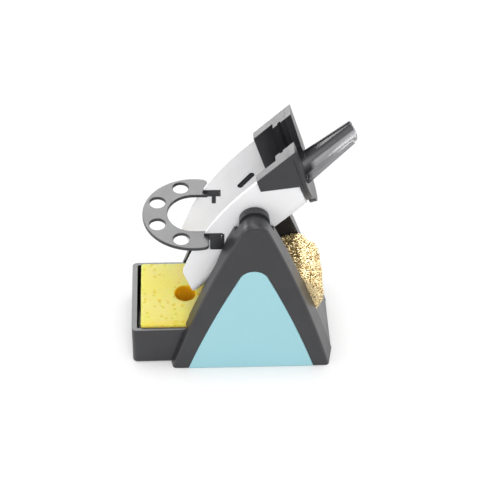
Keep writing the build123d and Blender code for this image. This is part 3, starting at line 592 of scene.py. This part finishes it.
def makeSpongeMaterial():
    material, tree, shader = newMaterial("cellulose")
    grain = placeGroup(tree, grainGroup, Scale=cleaningSponge["grainScale"])
    tone = mapRange(tree, grain.outputs["Tone"], *cleaningSponge["toneSpan"], 0.0, 1.0)
    colour = mixColour(tree, tone, cleaningSponge["colour"], cleaningSponge["pale"])
    for share, name in (("pore", "poreShadeColour"), ("glowAndEdge", "glowAndEdgeColour")):
        mix = tree.nodes.new("ShaderNodeMix")
        mix.data_type = "RGBA"
        tree.links.new(readShare(tree, share), mix.inputs["Factor"])
        tree.links.new(colour, mix.inputs["A"])
        mix.inputs["B"].default_value = (*cleaningSponge[name], 1.0)
        colour = mix.outputs["Result"]
    tree.links.new(colour, shader.inputs["Base Color"])
    shader.inputs["Subsurface Weight"].default_value = cleaningSponge["soak"]
    shader.inputs["Subsurface Radius"].default_value = cleaningSponge["soakColours"]
    shader.inputs["Subsurface Scale"].default_value = cleaningSponge["soakDepth"]
    shader.inputs["Roughness"].default_value = cleaningSponge["roughness"]
    shader.inputs["Specular IOR Level"].default_value = cleaningSponge["specular"]
    height = cleaningSponge["grainHeight"]
    addBump(tree, shader, grain.outputs["Height"], height, cleaningSponge["grainDepth"])
    return material


brassWool = {
    "seed": 23,
    "voxel": 0.0011,
    "shrink": 0.0016,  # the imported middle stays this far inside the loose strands
    "lumpScale": 230.0,
    "lumpDetail": (0.6, 2.0, 3),  # decay, spacing and octaves
    "lump": 0.0012,
    "strands": 150,
    "steps": (24, 46),
    "step": 0.0011,
    "leastStep": 1e-7,
    "wander": 0.5,  # radians a step
    "openFacing": (0.25, 0.6, 0.5),  # parts of a normal along X, Y and Z past which the pad is in view
    "curlRadius": (0.0009, 0.0022),
    "curlPitch": (0.0016, 0.0030),
    "curlLift": (-0.5, 0.35),  # share of the curl's radius
    "curlTwist": 0.25,
    "turnSides": 11,
    "ribbon": (0.00075, 0.00012),  # width and thickness
    "colour": (0.78, 0.60, 0.30),
    "pale": (0.92, 0.79, 0.50),
    # painted shade: the packed core under the strands is coloured dark for the shade in the gaps between
    # them
    "deep": (0.16, 0.105, 0.04),
    "middle": (0.46, 0.33, 0.14),
    "metallic": 0.85,
    "roughness": (0.32, 0.5),
    "grainScale": 1400.0,
    "grainHeight": 0.0002,
    "grainDepth": 0.4,
}


def makeWoolCore():
    obj = voxelCopy(nodes["brass_wool"], "brassWoolCore", brassWool["voxel"])
    mesh = obj.data
    normals = [vertex.normal.copy() for vertex in mesh.vertices]
    for vertex, normal in zip(mesh.vertices, normals):
        lump = noise.fractal(vertex.co * brassWool["lumpScale"], *brassWool["lumpDetail"])
        vertex.co = vertex.co + normal * (lump * brassWool["lump"] - brassWool["shrink"])
    mesh.materials.append(makeWoolMaterial("shadedPackedBrass", brassWool["deep"], brassWool["middle"]))
    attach(obj, "stand")
    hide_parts("brass_wool")
    return mesh


def isOpen(normal):
    right, aside, up = brassWool["openFacing"]
    return normal.x > right or normal.z > up or abs(normal.y) > aside


def wanderOver(tree, draw, starts, count):
    # a path that creeps over the pad, kept off its back and its foot
    place, normal = draw.choice(starts)
    side = normal.orthogonal().normalized()
    heading = side * math.cos(draw.uniform(0.0, math.tau)) + normal.cross(side)
    path = []
    for _ in range(count):
        path.append((place.copy(), normal.copy()))
        turn = draw.gauss(0.0, brassWool["wander"])
        heading = (heading - normal * heading.dot(normal)).normalized()
        heading = heading * math.cos(turn) + normal.cross(heading) * math.sin(turn)
        for _ in range(2):
            ahead, facing, _, _ = tree.find_nearest(place + heading * brassWool["step"])
            if isOpen(facing):
                place, normal = ahead, facing
                break
            heading = -heading
    return path


def curlRibbon(draw, path, low, high):
    # a flat ribbon wound round the path, closed at both ends
    radius = draw.uniform(*brassWool["curlRadius"])
    pitch = draw.uniform(*brassWool["curlPitch"])
    wide, thin = brassWool["ribbon"]
    perStep = math.tau * brassWool["step"] / pitch
    pieces = max(1, round(perStep * brassWool["turnSides"] / math.tau))
    phase = draw.uniform(0.0, math.tau)
    lift = radius * draw.uniform(*brassWool["curlLift"])
    rings = []
    for index in range(len(path) - 1):
        (start, startNormal), (end, endNormal) = path[index], path[index + 1]
        ahead = end - start
        if ahead.length < brassWool["leastStep"]:
            continue
        ahead.normalize()
        for piece in range(pieces):
            share = piece / pieces
            middle = start.lerp(end, share)
            normal = startNormal.lerp(endNormal, share).normalized()
            across = ahead.cross(normal).normalized()
            angle = phase + perStep * (index + share)
            out = normal * math.cos(angle) + across * math.sin(angle)
            turned = across * math.cos(angle) - normal * math.sin(angle)
            spin = ahead.lerp(turned, brassWool["curlTwist"]).normalized()
            centre = middle + normal * lift + out * radius
            centre.y = min(max(centre.y, low.y + wide / 2), high.y - wide / 2)
            rings.append([
                centre + spin * (wide / 2 * u) + out * (thin / 2 * v)
                for u, v in ((-1, -1), (1, -1), (1, 1), (-1, 1))
            ])
    return rings


def makeWoolStrands(core):
    draw = random.Random(brassWool["seed"])
    source = bmesh.new()
    source.from_mesh(nodes["brass_wool"].data)
    tree = BVHTree.FromBMesh(source)
    low, high = (Vector(corner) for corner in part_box("brass_wool"))
    inView = [vertex for vertex in core.vertices if isOpen(vertex.normal)]
    starts = [(vertex.co.copy(), vertex.normal.copy()) for vertex in inView]
    vertices = []
    faces = []
    for _ in range(brassWool["strands"]):
        path = wanderOver(tree, draw, starts, draw.randint(*brassWool["steps"]))
        rings = curlRibbon(draw, path, low, high)
        first = len(vertices)
        for ring in rings:
            vertices.extend(ring)
        for ring in range(len(rings) - 1):
            base = first + 4 * ring
            for side in range(4):
                after = (side + 1) % 4
                faces.append((base + side, base + after, base + 4 + after, base + 4 + side))
        last = first + 4 * (len(rings) - 1)
        faces.append((first + 3, first + 2, first + 1, first))
        faces.append((last, last + 1, last + 2, last + 3))
    source.free()
    mesh = bpy.data.meshes.new("brassWoolStrands")
    mesh.from_pydata(vertices, [], faces)
    obj = linkObject(bpy.data.objects.new("brassWoolStrands", mesh))
    mesh.materials.append(makeWoolMaterial("curledBrass", brassWool["colour"], brassWool["pale"]))
    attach(obj, "stand")


def makeWoolMaterial(name, colour, pale):
    material, tree, shader = newMaterial(name)
    shader.inputs["Metallic"].default_value = brassWool["metallic"]
    grain = placeGroup(tree, grainGroup, Scale=brassWool["grainScale"])
    tone = mapRange(tree, grain.outputs["Height"], *noiseSpan, 0.0, 1.0)
    tree.links.new(mixColour(tree, tone, colour, pale), shader.inputs["Base Color"])
    rough = mapRange(tree, grain.outputs["Tone"], *noiseSpan, *brassWool["roughness"])
    tree.links.new(rough, shader.inputs["Roughness"])
    addBump(tree, shader, grain.outputs["Height"], brassWool["grainHeight"], brassWool["grainDepth"])
    return material


makeSponge()
print("sponge ready")
makeWoolStrands(makeWoolCore())
print("brass wool ready")
